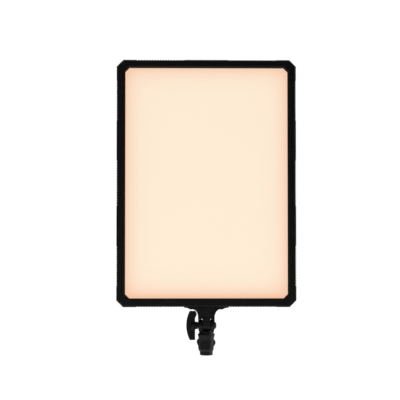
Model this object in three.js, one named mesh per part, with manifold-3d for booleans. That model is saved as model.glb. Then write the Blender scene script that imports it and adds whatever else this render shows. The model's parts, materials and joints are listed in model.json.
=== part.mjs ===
// A studio LED panel light on a tilting stand adapter, as separate pieces.
// Millimetres, +Z up. The light shines towards -Y, and the origin is the centre of the stand
// socket's mouth, where a stand's spigot enters from below.
//
// The pieces are in nested groups:
//   light       the whole assembly
//     receiver  what stays on the stand: socket, clevis, lock screw, tilt handle
//     head      what tilts about the pivot: the mounting bracket and the panel
//       panel   casing, optics, heat sink, electronics and controls

import * as THREE from "three";
import { mergeVertices } from "three/addons/utils/BufferGeometryUtils.js";
import Module from "manifold-3d";

const wasm = await Module();
wasm.setup();

// ---------------------------------------------------------------- driving dimensions

const GAP = 0.3; // clearance between pieces that touch or slide

// Lamp head. Its own frame has its origin at the panel's centre.
const WIDTH = 350;
const HEIGHT = 482;
const CORNER = 13; // leg of the corner chamfer
const FRONT_Y = -20; // front of the bezel
const SEAM_Y = -12; // where bezel and rear shell meet
const BACK_Y = 20; // flat back of the rear shell
const WALL = 2; // back of the rear shell
const SIDE_WALL = 5.5; // sides of the rear shell, fins included

// Cooling fins on the four sides: grooves cut across the side walls, in groups.
const FIN_PITCH = 5.27;
const GROOVE_WIDTH = 2.6;
const GROOVE_DEPTH = 3;
const GROOVE_END_Y = 9;
const SIDE_GROUPS = [
  { centre: -161.3, count: 15 },
  { centre: 0, count: 17 },
  { centre: 161.3, count: 15 },
];
const END_GROUPS = [
  { centre: -89.5, count: 18 },
  { centre: 89.5, count: 18 },
];

// Bezel and optics.
const BEZEL_INSET = 2; // the bezel stands this far inside the rear shell's outline
const OPENING_W = 315.4; // the light-emitting window
const OPENING_H = 447.6;
const OPENING_CORNER = 8;
const BEVEL_WIDTH = 3.4; // sloping inner edge of the bezel
const BEVEL_DEPTH = 2.4;
const DIFFUSER = { w: 326, h: 458.2, t: 2, y: -16.4 };
const CHASSIS = { w: 336, h: 467, y: 6, t: 2 }; // aluminium plate that carries the LEDs
const STRIP = { count: 6, pitch: 50, w: 16, h: 420, t: 1.2 };
const EMITTER = { count: 12, pitch: 35, size: 5, t: 0.9 };

// Heat sink window in the back.
const WINDOW = { w: 224, h: 292, z: 48 };
const WINDOW_FOOT_Y = CHASSIS.y + CHASSIS.t + 0.6; // front end of the frame round the window
const FIN = { count: 24, pitch: 9, t: 2, top: 19.4 };

// Control housing low on the back.
const HOUSING = { w: 176, h: 100, corner: 8, y: 30, z: -183 };
const FASCIA = { w: 160, h: 84, corner: 5, t: 1.8 };
const FASCIA_Y = HOUSING.y - FASCIA.t; // its hidden face
const TOP_ROW_Z = HOUSING.z + 14;
const LOW_ROW_Z = HOUSING.z - 24;
const KNOB_X = 54;
const KNOB = { r: 12, y: 31.6, depth: 13 };
const DISPLAY = { w: 56, h: 20 };
const BUTTON = { w: 18, h: 8, proud: 1.4 };
const ROCKER = { w: 10, h: 16, tilt: 9 };
const INLET = { flange: 9, barrel: 7, bore: 5.6, depth: 8, proud: 4.6 };

// Tilt pivot and stand adapter.
const PIVOT_Z = 57.8;
const PANEL_CLEARANCE = 36; // pivot axis to the bottom of the panel
const PANEL_Z = PIVOT_Z + PANEL_CLEARANCE + HEIGHT / 2;
const NECK_HALF = 16; // half width of neck and clevis
const NECK_DEPTH = 11; // half depth of the neck, front to back
const TONGUE_HALF = 7.9;
const WASHER = { r: 10.6, t: 0.8 };
const EAR_INNER = TONGUE_HALF + WASHER.t + 0.4;
const EAR_STEP = 12.4; // the ears are smaller outside this half width
const EAR_R = 13;
const EAR_OUTER_R = 10.3;
const SHOULDER = 13.4; // pivot axis to the neck's shoulder
const BOLT_R = 4;
const SOCKET = { r: 8.1, depth: 40 }; // takes a 16 mm stand spigot
const LOCK_Z = 20;
const LOCK_KNOB = { r: 17.6, lobe: 1.5, lobes: 5, turn: 14, y: 21.5, depth: 12 };
const HANDLE_REACH = 28.1; // pivot axis to each end of the tilt handle

// ---------------------------------------------------------------- shape helpers

const X = new THREE.Vector3(1, 0, 0);
const Y = new THREE.Vector3(0, 1, 0);
const Z = new THREE.Vector3(0, 0, 1);
const ALONG_Y = new THREE.Matrix4().makeBasis(X, Z, Y.clone().negate()); // outline (x, z)
const ALONG_X = new THREE.Matrix4().makeBasis(Y, Z, X); // outline (y, z)
const rad = THREE.MathUtils.degToRad;

// A geometry as a manifold-3d solid, for cutting and joining.
function solid(geometry) {
  const bare = geometry.index ? geometry.toNonIndexed() : geometry.clone();
  bare.deleteAttribute("normal");
  bare.deleteAttribute("uv");
  const merged = mergeVertices(bare, 1e-4);
  const index = merged.index.array;
  const kept = [];
  for (let i = 0; i < index.length; i += 3) {
    const [a, b, c] = [index[i], index[i + 1], index[i + 2]];
    if (a !== b && b !== c && a !== c) kept.push(a, b, c);
  }
  return new wasm.Manifold(
    new wasm.Mesh({
      numProp: 3,
      vertProperties: merged.attributes.position.array,
      triVerts: new Uint32Array(kept),
    }),
  );
}

// A manifold-3d solid as a geometry.
function geometryOf(shape) {
  const { vertProperties, triVerts } = shape.getMesh();
  const geometry = new THREE.BufferGeometry();
  geometry.setAttribute("position", new THREE.BufferAttribute(vertProperties, 3));
  geometry.setIndex(new THREE.BufferAttribute(triVerts, 1));
  geometry.computeVertexNormals();
  return geometry;
}

const join = (first, ...others) => others.reduce((all, one) => all.add(one), first);
const cut = (first, ...others) => others.reduce((all, one) => all.subtract(one), first);

// A rectangle centred on (0, 0) with chamfered corners.
function chamfered(w, h, c) {
  const shape = new THREE.Shape();
  const [x, y] = [w / 2, h / 2];
  shape.moveTo(-x + c, -y);
  shape.lineTo(x - c, -y);
  shape.lineTo(x, -y + c);
  shape.lineTo(x, y - c);
  shape.lineTo(x - c, y);
  shape.lineTo(-x + c, y);
  shape.lineTo(-x, y - c);
  shape.lineTo(-x, -y + c);
  return shape;
}

// A rectangle centred on (0, 0) with rounded corners.
function rounded(w, h, r) {
  const shape = new THREE.Shape();
  const [x, y] = [w / 2 - r, h / 2 - r];
  shape.absarc(x, y, r, 0, Math.PI / 2);
  shape.absarc(-x, y, r, Math.PI / 2, Math.PI);
  shape.absarc(-x, -y, r, Math.PI, 1.5 * Math.PI);
  shape.absarc(x, -y, r, 1.5 * Math.PI, 2 * Math.PI);
  return shape;
}

// An (x, z) outline made into a plate from y0 to y1, moved by dx and dz.
function plate(outline, y0, y1, { dx = 0, dz = 0, curveSegments = 3 } = {}) {
  const made = new THREE.ExtrudeGeometry(outline, {
    depth: y1 - y0,
    bevelEnabled: false,
    curveSegments,
  });
  made.applyMatrix4(ALONG_Y);
  made.translate(dx, y1, dz);
  return solid(made);
}

// A plate whose outline is one size at y0 and another at y1.
function tapered(outline, y0, y1, scaleX, scaleZ, dz = 0) {
  const made = new THREE.ExtrudeGeometry(outline, {
    depth: y1 - y0,
    bevelEnabled: false,
    curveSegments: 3,
  });
  const at = made.attributes.position;
  for (let i = 0; i < at.count; i++) {
    if (at.getZ(i) > 0) continue; // this end becomes y1
    at.setX(i, at.getX(i) * scaleX);
    at.setY(i, at.getY(i) * scaleZ);
  }
  made.applyMatrix4(ALONG_Y);
  made.translate(0, y1, dz);
  return solid(made);
}

// A (y, z) outline made into a slab from x0 to x1.
function slab(outline, x0, x1, curveSegments = 16) {
  const made = new THREE.ExtrudeGeometry(outline, {
    depth: x1 - x0,
    bevelEnabled: false,
    curveSegments,
  });
  made.applyMatrix4(ALONG_X);
  made.translate(x0, 0, 0);
  return solid(made);
}

function box(x0, x1, y0, y1, z0, z1) {
  const made = new THREE.BoxGeometry(x1 - x0, y1 - y0, z1 - z0);
  made.translate((x0 + x1) / 2, (y0 + y1) / 2, (z0 + z1) / 2);
  return solid(made);
}

// A round bar along one axis, centred on (a, b) in the other two, taken in x, y, z order.
function bar(axis, r, from, to, a = 0, b = 0, sides = 24) {
  const made = new THREE.CylinderGeometry(r, r, to - from, sides);
  const middle = (from + to) / 2;
  if (axis === "x") made.rotateZ(-Math.PI / 2).translate(middle, a, b);
  if (axis === "y") made.translate(a, middle, b);
  if (axis === "z") made.rotateX(Math.PI / 2).translate(a, b, middle);
  return solid(made);
}

// A turned piece: [radius, height] pairs from the axis back to the axis, going up.
function turned(axis, profile, sides = 24) {
  const points = profile.map(([r, h]) => new THREE.Vector2(r, h));
  const made = new THREE.LatheGeometry(points, sides);
  if (axis === "x") made.rotateZ(-Math.PI / 2);
  if (axis === "z") made.rotateX(Math.PI / 2);
  return solid(made);
}

// ---------------------------------------------------------------- materials

const paint = (color, roughness, metalness = 0) =>
  new THREE.MeshStandardMaterial({ color, roughness, metalness });

const MATERIAL = {
  shellPlastic: paint(0x101012, 0.55),
  bezelPlastic: paint(0x0c0c0d, 0.5),
  bracketMetal: paint(0x0b0b0c, 0.5),
  gripPlastic: paint(0x0d0d0e, 0.6),
  opal: paint(0xfee9d3, 0.6),
  white: paint(0xf2f2ee, 0.7),
  circuit: paint(0x0f5a36, 0.5),
  aluminium: paint(0x2a2b2d, 0.45, 0.9),
  steel: paint(0x3a3b3d, 0.35, 1),
  brass: paint(0xb08d4a, 0.35, 1),
  nylon: paint(0x1b1b1c, 0.6),
  window: paint(0x050506, 0.1),
  knob: paint(0x141415, 0.5),
  cable: paint(0x8f1d1a, 0.5),
};

const light = new THREE.Group();
const receiver = new THREE.Group();
const head = new THREE.Group();
const panel = new THREE.Group();
panel.position.set(0, 0, PANEL_Z);
head.add(panel);
light.add(receiver, head);

function add(group, name, shape, material) {
  const mesh = new THREE.Mesh(geometryOf(shape), material);
  mesh.name = name;
  group.add(mesh);
}

// ---------------------------------------------------------------- stand receiver

// Outline of the ears on both sides of the tongue: a disc with a stem going down.
function earOutline(r, stemHalf, stemBottom) {
  const shape = new THREE.Shape();
  const lift = Math.asin(stemHalf / r);
  shape.moveTo(stemHalf, stemBottom);
  shape.absarc(0, PIVOT_Z, r, -Math.PI / 2 + lift, 1.5 * Math.PI - lift);
  shape.lineTo(-stemHalf, stemBottom);
  return shape;
}

function receiverBody() {
  const collarR = 16.45;
  const waistR = 14.2;
  const waistTop = PIVOT_Z - 11.4;
  const collarTop = 42.3;
  const stemHalf = 9.2;
  const sleeve = turned("z", [
    [0, 0], [11.8, 0], [12.6, 0.9], [12.6, 7], [14.3, 12], [14.5, 30.5],
    [collarR, 39.4], [collarR, 41.4], [collarR - 0.9, collarTop],
    [waistR, collarTop + 0.1], [waistR, waistTop], [0, waistTop],
  ], 28);
  const fluteCount = 14;
  const flutes = Array.from({ length: fluteCount }, (_, i) => {
    const angle = (i * 2 * Math.PI) / fluteCount - Math.PI / 2;
    const [x, y] = [14.9 * Math.cos(angle), 14.9 * Math.sin(angle)];
    return bar("z", 1.5, collarTop - 0.9, waistTop + 1, x, y, 6);
  });
  const stemBottom = waistTop - 0.6;
  const wide = slab(earOutline(EAR_OUTER_R, stemHalf, stemBottom), -NECK_HALF, NECK_HALF);
  const tall = slab(earOutline(EAR_R, stemHalf, stemBottom), -EAR_STEP, EAR_STEP);
  const foot = new THREE.Shape(); // trims the clevis to the waist, seen from the front
  foot.moveTo(-NECK_HALF - 1, waistTop - 1);
  foot.lineTo(-waistR, waistTop - 1);
  foot.lineTo(-waistR, waistTop);
  foot.lineTo(-NECK_HALF, waistTop + 3.4);
  foot.lineTo(-NECK_HALF - 1, waistTop + 3.4);
  const trims = [1, -1].map((side) => {
    const one = plate(foot, -20, 20);
    return side > 0 ? one : one.mirror([1, 0, 0]);
  });
  const boss = bar("y", 8, 10, 17.5, 0, LOCK_Z);
  const slot = box(-EAR_INNER, EAR_INNER, -20, 20, waistTop, PIVOT_Z + 20);
  return cut(
    join(sleeve, cut(join(wide, tall), ...trims), boss),
    ...flutes,
    slot,
    bar("z", SOCKET.r, -1, SOCKET.depth, 0, 0, 28),
    bar("x", BOLT_R + GAP, -20, 20, 0, PIVOT_Z),
    bar("x", 7.6, 12.4, 20, 0, PIVOT_Z, 6), // pocket that keeps the bolt's head from turning
    bar("y", BOLT_R + GAP, 4, 20, 0, LOCK_Z),
    bar("y", 6.3, 13, 20, 0, LOCK_Z), // seat of the threaded insert
  );
}

function pivotBolt() {
  return cut(
    join(bar("x", BOLT_R, -23.5, 13, 0, PIVOT_Z), bar("x", 7.2, 12.7, 15.7, 0, PIVOT_Z, 6)),
    bar("x", 2.8, 13.5, 16, 0, PIVOT_Z, 6), // hexagon socket
  );
}

// Domed cap over the bolt's head, with a peg into its hexagon socket.
function pivotCap() {
  const profile = [[0, 14], [2.2, 14], [2.2, 16.1], [7, 16.1], [6.9, 16.7], [5.9, 18.2],
    [4.2, 19.1], [0, 19.6]];
  return turned("x", profile).translate([0, 0, PIVOT_Z]);
}

function washer(side) {
  const inner = side * (TONGUE_HALF + 0.2);
  const outer = side * (TONGUE_HALF + 0.2 + WASHER.t);
  const [from, to] = [Math.min(inner, outer), Math.max(inner, outer)];
  return cut(
    bar("x", WASHER.r, from, to, 0, PIVOT_Z, 28),
    bar("x", BOLT_R + GAP, from - 1, to + 1, 0, PIVOT_Z),
  );
}

add(receiver, "receiver_body", receiverBody(), MATERIAL.bracketMetal);
add(receiver, "pivot_bolt", pivotBolt(), MATERIAL.steel);
add(receiver, "pivot_cap", pivotCap(), MATERIAL.gripPlastic);
add(receiver, "friction_washer_left", washer(-1), MATERIAL.nylon);
add(receiver, "friction_washer_right", washer(1), MATERIAL.nylon);

// ---------------------------------------------------------------- socket lock

// Star knob: its radius swings between lobes and valleys.
function starOutline({ r, lobe, lobes, turn }, steps = 50) {
  const points = Array.from({ length: steps }, (_, i) => {
    const angle = (i * 2 * Math.PI) / steps;
    const reach = r + lobe * Math.cos(lobes * (angle - rad(turn)));
    return new THREE.Vector2(reach * Math.cos(angle), reach * Math.sin(angle));
  });
  return new THREE.Shape(points);
}

function lockKnob() {
  const { y, depth } = LOCK_KNOB;
  return cut(
    join(
      plate(starOutline(LOCK_KNOB), y, y + depth, { dz: LOCK_Z }),
      bar("y", 8, y - 1.6, y + 1, 0, LOCK_Z),
    ),
    bar("y", BOLT_R + 0.2, y - 3, y + 9, 0, LOCK_Z),
  );
}

const lockInsert = cut(
  bar("y", 6, 13.3, 17.8, 0, LOCK_Z),
  bar("y", BOLT_R + 0.2, 12, 19, 0, LOCK_Z),
);
add(receiver, "lock_insert", lockInsert, MATERIAL.brass);
add(receiver, "lock_pad", bar("y", 3.7, 8.4, 10.4, 0, LOCK_Z), MATERIAL.nylon);
add(receiver, "lock_screw", bar("y", BOLT_R, 10.6, LOCK_KNOB.y + 8.8, 0, LOCK_Z), MATERIAL.steel);
add(receiver, "lock_knob", lockKnob(), MATERIAL.gripPlastic);

// ---------------------------------------------------------------- tilt handle

// Wing of the handle seen from the front: its outer edge is an arc, and near its upper end the
// inner edge leans towards the neck.
function wingOutline() {
  const outerR = 62;
  const outerX = -39.1;
  const innerX = -21.9;
  const centreX = outerX + outerR;
  const half = Math.asin(HANDLE_REACH / outerR);
  const shape = new THREE.Shape();
  shape.moveTo(innerX, PIVOT_Z - HANDLE_REACH);
  shape.lineTo(innerX, PIVOT_Z + 14.6);
  shape.lineTo(-18.9, PIVOT_Z + 20.8);
  shape.lineTo(-18.9, PIVOT_Z + 23.6);
  shape.lineTo(-21.3, PIVOT_Z + HANDLE_REACH);
  shape.absarc(centreX, PIVOT_Z, outerR, Math.PI - half, Math.PI + half);
  return shape;
}

function tiltHandle() {
  const wing = plate(wingOutline(), -6, 6, { curveSegments: 14 });
  const hub = bar("x", 7.1, -24, -NECK_HALF - GAP, 0, PIVOT_Z);
  return cut(join(wing, hub), bar("x", 5.4, -26, -10, 0, PIVOT_Z));
}

const handleInsert = cut(
  bar("x", 5.2, -25.5, -NECK_HALF - 2 * GAP, 0, PIVOT_Z),
  bar("x", BOLT_R + 0.2, -24.2, -10, 0, PIVOT_Z),
);
add(receiver, "tilt_handle", tiltHandle(), MATERIAL.gripPlastic);
add(receiver, "handle_insert", handleInsert, MATERIAL.brass);

// ---------------------------------------------------------------- mounting bracket

const BRACKET_TOP = PIVOT_Z + PANEL_CLEARANCE - GAP;
const BRACKET_SCREWS = [
  [-29, 0], [29, 0], [-29, 13.5], [29, 13.5],
];

// Half of the bracket's foot seen from the front, from the wing tip in to the neck.
function footOutline() {
  const shape = new THREE.Shape();
  const top = BRACKET_TOP;
  shape.moveTo(0, top);
  shape.lineTo(0, PIVOT_Z + SHOULDER);
  shape.lineTo(NECK_HALF, PIVOT_Z + SHOULDER);
  shape.lineTo(NECK_HALF, top - 18.5);
  shape.bezierCurveTo(NECK_HALF + 0.6, top - 11.5, 19.5, top - 5.6, 26.4, top - 3.9); // neck fillet
  shape.bezierCurveTo(28, top - 4.6, 31.6, top - 4.7, 34, top - 3); // lobe under the screws
  shape.bezierCurveTo(37, top - 1.3, 40, top - 0.9, 44, top - 0.7); // wing
  shape.lineTo(44, top);
  return shape;
}

function mountBracket() {
  const halfFoot = cut(
    plate(footOutline(), -10.5, 18),
    box(-1, 60, NECK_DEPTH, 20, 0, BRACKET_TOP - 5.2), // behind the neck only the foot remains
  );
  const lip = box(EAR_STEP + 0.4, NECK_HALF, -NECK_DEPTH, NECK_DEPTH,
    PIVOT_Z + 9.5, PIVOT_Z + SHOULDER + 1);
  const half = cut(join(halfFoot, lip), bar("x", EAR_OUTER_R + 0.5, 10, 20, 0, PIVOT_Z, 32));
  const tongueSide = new THREE.Shape();
  tongueSide.moveTo(NECK_DEPTH, PIVOT_Z + SHOULDER + 1);
  tongueSide.absarc(0, PIVOT_Z, NECK_DEPTH, 0, -Math.PI, true);
  tongueSide.lineTo(-NECK_DEPTH, PIVOT_Z + SHOULDER + 1);
  const tongue = slab(tongueSide, -TONGUE_HALF, TONGUE_HALF);
  const holes = BRACKET_SCREWS.flatMap(([x, y]) => [
    bar("z", 2.2, PIVOT_Z, BRACKET_TOP + 5, x, y, 12),
    bar("z", 4, PIVOT_Z, BRACKET_TOP - 2, x, y, 20),
  ]);
  return cut(
    join(half, half.mirror([1, 0, 0]), tongue),
    bar("x", BOLT_R + GAP, -20, 20, 0, PIVOT_Z),
    ...holes,
  );
}

add(head, "mount_bracket", mountBracket(), MATERIAL.bracketMetal);
BRACKET_SCREWS.forEach(([x, y], i) => {
  const screw = cut(
    join(
      bar("z", 3.7, BRACKET_TOP - 4.4, BRACKET_TOP - 2 - GAP, x, y, 20),
      bar("z", 1.9, BRACKET_TOP - 3, BRACKET_TOP + 14, x, y, 12),
    ),
    bar("z", 1.4, BRACKET_TOP - 5, BRACKET_TOP - 3.2, x, y, 6),
  );
  add(head, `bracket_screw_${i + 1}`, screw, MATERIAL.steel);
});

// ---------------------------------------------------------------- casing

const innerW = WIDTH - 2 * SIDE_WALL;
const innerH = HEIGHT - 2 * SIDE_WALL;
const SCREW_POSTS = [
  [-152, -214], [152, -214], [-152, 0], [152, 0], [-152, 216], [152, 216], [-52, 216], [52, 216],
];

function frontBezel() {
  const outerCorner = CORNER - 0.6 * BEZEL_INSET;
  const body = plate(
    chamfered(WIDTH - 2 * BEZEL_INSET, HEIGHT - 2 * BEZEL_INSET, outerCorner), FRONT_Y, SEAM_Y);
  const skirt = cut(
    plate(chamfered(innerW - 0.8, innerH - 0.8, 11), SEAM_Y - 1, -5),
    plate(chamfered(innerW - 6, innerH - 6, 9), SEAM_Y - 2, 0),
  );
  const bevelEnd = FRONT_Y + BEVEL_DEPTH;
  const slope = tapered(
    chamfered(OPENING_W + 2 * BEVEL_WIDTH, OPENING_H + 2 * BEVEL_WIDTH, OPENING_CORNER + 2),
    FRONT_Y - 0.01, bevelEnd,
    OPENING_W / (OPENING_W + 2 * BEVEL_WIDTH), OPENING_H / (OPENING_H + 2 * BEVEL_WIDTH));
  const throat = plate(chamfered(OPENING_W, OPENING_H, OPENING_CORNER), bevelEnd - 0.01, 0);
  const seat = plate(chamfered(DIFFUSER.w + 1, DIFFUSER.h + 1, 8), DIFFUSER.y - 0.2, 0);
  return cut(join(body, skirt), slope, throat, seat);
}

// Grooves between the fins of one side, each as an outline across the wall.
function grooves() {
  const made = [];
  const rows = [
    { groups: SIDE_GROUPS, reach: WIDTH / 2, upright: false },
    { groups: END_GROUPS, reach: HEIGHT / 2, upright: true },
  ];
  for (const { groups, reach, upright } of rows)
    for (const { centre, count } of groups)
      for (let i = 0; i < count; i++)
        for (const side of [-1, 1]) {
          const at = centre + (i - (count - 1) / 2) * FIN_PITCH;
          const [low, high] = [at - GROOVE_WIDTH / 2, at + GROOVE_WIDTH / 2];
          const inner = side * (reach - GROOVE_DEPTH);
          const outer = side * (reach + 5);
          const [from, to] = [Math.min(inner, outer), Math.max(inner, outer)];
          const span = upright ? [low, high, from, to] : [from, to, low, high];
          made.push(box(span[0], span[1], SEAM_Y - 5, GROOVE_END_Y, span[2], span[3]));
        }
  return made;
}

function rearShell() {
  const edge = 7; // slope between sides and back
  const slopeY = BACK_Y - edge;
  const sides = plate(chamfered(WIDTH, HEIGHT, CORNER), SEAM_Y + GAP, slopeY);
  const back = tapered(chamfered(WIDTH, HEIGHT, CORNER), slopeY, BACK_Y,
    (WIDTH - 2 * edge) / WIDTH, (HEIGHT - 2 * edge) / HEIGHT);
  const cavity = plate(chamfered(innerW, innerH, 11), SEAM_Y - 1, slopeY - 1);
  const cavityEnd = tapered(chamfered(innerW, innerH, 11), slopeY - 1.01, BACK_Y - WALL,
    (innerW - 2 * edge) / innerW, (innerH - 2 * edge) / innerH);
  const controlHole = plate(
    rounded(HOUSING.w - 12, HOUSING.h - 12, 3), BACK_Y - WALL - 1, BACK_Y + 1, { dz: HOUSING.z });
  const rim = plate(
    chamfered(WINDOW.w + 14, WINDOW.h + 14, 12), WINDOW_FOOT_Y, BACK_Y + 2, { dz: WINDOW.z });
  const window = plate(
    chamfered(WINDOW.w, WINDOW.h, 8), WINDOW_FOOT_Y - 1, BACK_Y + 5, { dz: WINDOW.z });
  const bracketPosts = BRACKET_SCREWS.map(([x, y0]) =>
    bar("z", 4.4, -HEIGHT / 2 + 2, -HEIGHT / 2 + 15.5, x, y0, 8));
  const bracketHoles = BRACKET_SCREWS.map(([x, y0]) =>
    bar("z", 2.2, -HEIGHT / 2 - 1, -HEIGHT / 2 + 17, x, y0, 8));
  const screwHoles = SCREW_POSTS.flatMap(([x, z0]) => [
    bar("y", 1.8, 10, 30, x, z0, 8),
    bar("y", 3.5, BACK_Y - 1.1, 30, x, z0, 12),
  ]);
  const hollow = cut(join(sides, back), cavity, cavityEnd);
  return cut(
    join(hollow, rim, ...bracketPosts),
    controlHole,
    window,
    ...bracketHoles,
    ...screwHoles,
    ...grooves(),
  );
}

add(panel, "front_bezel", frontBezel(), MATERIAL.bezelPlastic);
add(panel, "rear_shell", rearShell(), MATERIAL.shellPlastic);
SCREW_POSTS.forEach(([x, z], i) => {
  const screw = cut(
    join(
      bar("y", 3, BACK_Y - 0.9, BACK_Y + 0.7, x, z, 12),
      bar("y", 1.4, BACK_Y - 9, BACK_Y, x, z, 8),
    ),
    bar("y", 1.1, BACK_Y - 0.3, BACK_Y + 2, x, z, 6),
  );
  add(panel, `shell_screw_${i + 1}`, screw, MATERIAL.steel);
});

// ---------------------------------------------------------------- optics

const diffuserBack = DIFFUSER.y + DIFFUSER.t;
add(
  panel,
  "diffuser",
  plate(chamfered(DIFFUSER.w, DIFFUSER.h, 8), DIFFUSER.y, diffuserBack),
  MATERIAL.opal,
);

// White sloping walls between the LED plane and the diffuser.
function reflectorFrame() {
  const wall = 1.2;
  const [front, back] = [diffuserBack + 0.2, CHASSIS.y - 0.2];
  const [w, h] = [DIFFUSER.w - 2, DIFFUSER.h - 2];
  const narrow = 22; // how much smaller the frame is at the LED plane
  const outer = tapered(chamfered(w, h, 8), front, back, (w - narrow) / w, (h - narrow) / h);
  const [iw, ih] = [w - 2 * wall, h - 2 * wall];
  const inner = tapered(chamfered(iw, ih, 8), front - 0.01, back + 0.01,
    (iw - narrow) / iw, (ih - narrow) / ih);
  return cut(outer, inner);
}

// One LED strip: a narrow board with a row of emitters.
function ledStrip(x) {
  const back = CHASSIS.y - 0.2;
  const board = box(x - STRIP.w / 2, x + STRIP.w / 2, back - STRIP.t, back, -STRIP.h / 2, STRIP.h / 2);
  const emitters = Array.from({ length: EMITTER.count }, (_, i) => {
    const z = (i - (EMITTER.count - 1) / 2) * EMITTER.pitch;
    const half = EMITTER.size / 2;
    const face = back - STRIP.t - EMITTER.t;
    return box(x - half, x + half, face, back - STRIP.t + 0.1, z - half, z + half);
  });
  return join(board, ...emitters);
}

add(panel, "reflector_frame", reflectorFrame(), MATERIAL.white);
for (let i = 0; i < STRIP.count; i++) {
  const x = (i - (STRIP.count - 1) / 2) * STRIP.pitch;
  add(panel, `led_strip_${i + 1}`, ledStrip(x), MATERIAL.white);
}

// ---------------------------------------------------------------- heat sink

const HARNESS = { x: -112, z: -150, r: 2 };

function heatSink() {
  const back = CHASSIS.y + CHASSIS.t;
  const base = plate(chamfered(CHASSIS.w, CHASSIS.h, 10), CHASSIS.y, back);
  const posts = SCREW_POSTS.map(([x, z]) => bar("y", 4, back - 0.5, BACK_Y - WALL - 1.3, x, z, 12));
  const holes = SCREW_POSTS.map(([x, z]) => bar("y", 1.7, back + 1, BACK_Y, x, z, 10));
  const fins = Array.from({ length: FIN.count }, (_, i) => {
    const x = (i - (FIN.count - 1) / 2) * FIN.pitch;
    const half = WINDOW.h / 2 - 4;
    return box(x - FIN.t / 2, x + FIN.t / 2, back - 0.5, FIN.top, WINDOW.z - half, WINDOW.z + half);
  });
  return cut(
    join(base, ...posts, ...fins),
    ...holes,
    bar("y", 5, 0, 15, HARNESS.x, HARNESS.z, 12),
  );
}

add(panel, "heat_sink", heatSink(), MATERIAL.aluminium);

// ---------------------------------------------------------------- electronics

const behindPlate = CHASSIS.y + CHASSIS.t;

function driverBoard() {
  const [low, high] = [behindPlate + 1.4, behindPlate + 3];
  const z = HOUSING.z;
  const parts = [
    box(-60, -32, high - 0.1, high + 6, z - 16, z + 16), // transformer
    box(-22, -8, high - 0.1, high + 5, z + 4, z + 18), // inductor
    box(6, 26, high - 0.1, high + 4, z - 18, z - 2), // connector block
    box(36, 66, high - 0.1, high + 3.4, z + 2, z + 14), // transistor row
  ];
  const capacitors = [-20, -8].map((x) => bar("y", 5, high - 0.1, high + 6, x, z - 12, 16));
  return join(box(-74, 74, low, high, z - 33, z + 33), ...parts, ...capacitors);
}

// Internal lead from the driver board through the chassis to the LED strips.
function ledHarness() {
  const { x, z, r } = HARNESS;
  const points = [
    [x + 36, behindPlate + 4.6, z - 14], [x + 24, behindPlate + 6, z - 10],
    [x + 10, behindPlate + 6, z - 2], [x + 1.5, behindPlate + 3.5, z],
    [x, CHASSIS.y + 1, z], [x + 1, CHASSIS.y - 4.4, z + 1], [x + 3, CHASSIS.y - 4.9, z + 9],
  ].map((p) => new THREE.Vector3(...p));
  const section = new THREE.Shape();
  section.absarc(0, 0, r, 0, 2 * Math.PI);
  return solid(new THREE.ExtrudeGeometry(section, {
    steps: 16,
    curveSegments: 3,
    bevelEnabled: false,
    extrudePath: new THREE.CatmullRomCurve3(points),
  }));
}

add(panel, "driver_board", driverBoard(), MATERIAL.circuit);
add(panel, "led_harness", ledHarness(), MATERIAL.cable);

// ---------------------------------------------------------------- control panel

const BOARD_Y = 19;
const BOARD_T = 1.6;
const boardFace = BOARD_Y + BOARD_T;

// Open box round the controls, clipped on the back of the rear shell, with a recess for the fascia.
function controlHousing() {
  const { w, h, corner, y, z } = HOUSING;
  const rim = 2.5; // depth of the sloping edge
  const foot = BACK_Y + GAP;
  const outside = join(
    plate(rounded(w, h, corner), foot, y - rim, { dz: z }),
    tapered(rounded(w, h, corner), y - rim, y, (w - 5) / w, (h - 5) / h, z),
  );
  return cut(
    outside,
    plate(rounded(w - 6, h - 6, corner - 3), foot - 1, FASCIA_Y - 2, { dz: z }),
    plate(rounded(FASCIA.w + 0.6, FASCIA.h + 0.6, FASCIA.corner), FASCIA_Y - GAP, y + 1, { dz: z }),
    plate(rounded(FASCIA.w - 6, FASCIA.h - 6, 3), foot, y, { dz: z }),
  );
}

add(panel, "control_housing", controlHousing(), MATERIAL.shellPlastic);
add(
  panel,
  "control_board",
  box(-74, 74, BOARD_Y, boardFace, TOP_ROW_Z - 18, TOP_ROW_Z + 17),
  MATERIAL.circuit,
);

function encoder(x) {
  return join(
    box(x - 6, x + 6, boardFace + 0.2, FASCIA_Y - 0.8, TOP_ROW_Z - 6.5, TOP_ROW_Z + 6.5),
    bar("y", 4.4, FASCIA_Y - 1, HOUSING.y + 0.8, x, TOP_ROW_Z, 16),
    bar("y", 3, HOUSING.y, 40, x, TOP_ROW_Z, 16),
  );
}

function controlKnob(x) {
  const { r, y, depth } = KNOB;
  const cap = turned("y", [
    [0, y], [r - 0.4, y], [r, y + 0.6], [r - 0.5, y + depth - 1.2], [r - 1.6, y + depth],
    [0, y + depth],
  ], 28).translate([x, 0, TOP_ROW_Z]);
  return cut(cap, bar("y", 3.2, y - 1, 40.4, x, TOP_ROW_Z, 16));
}

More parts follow.
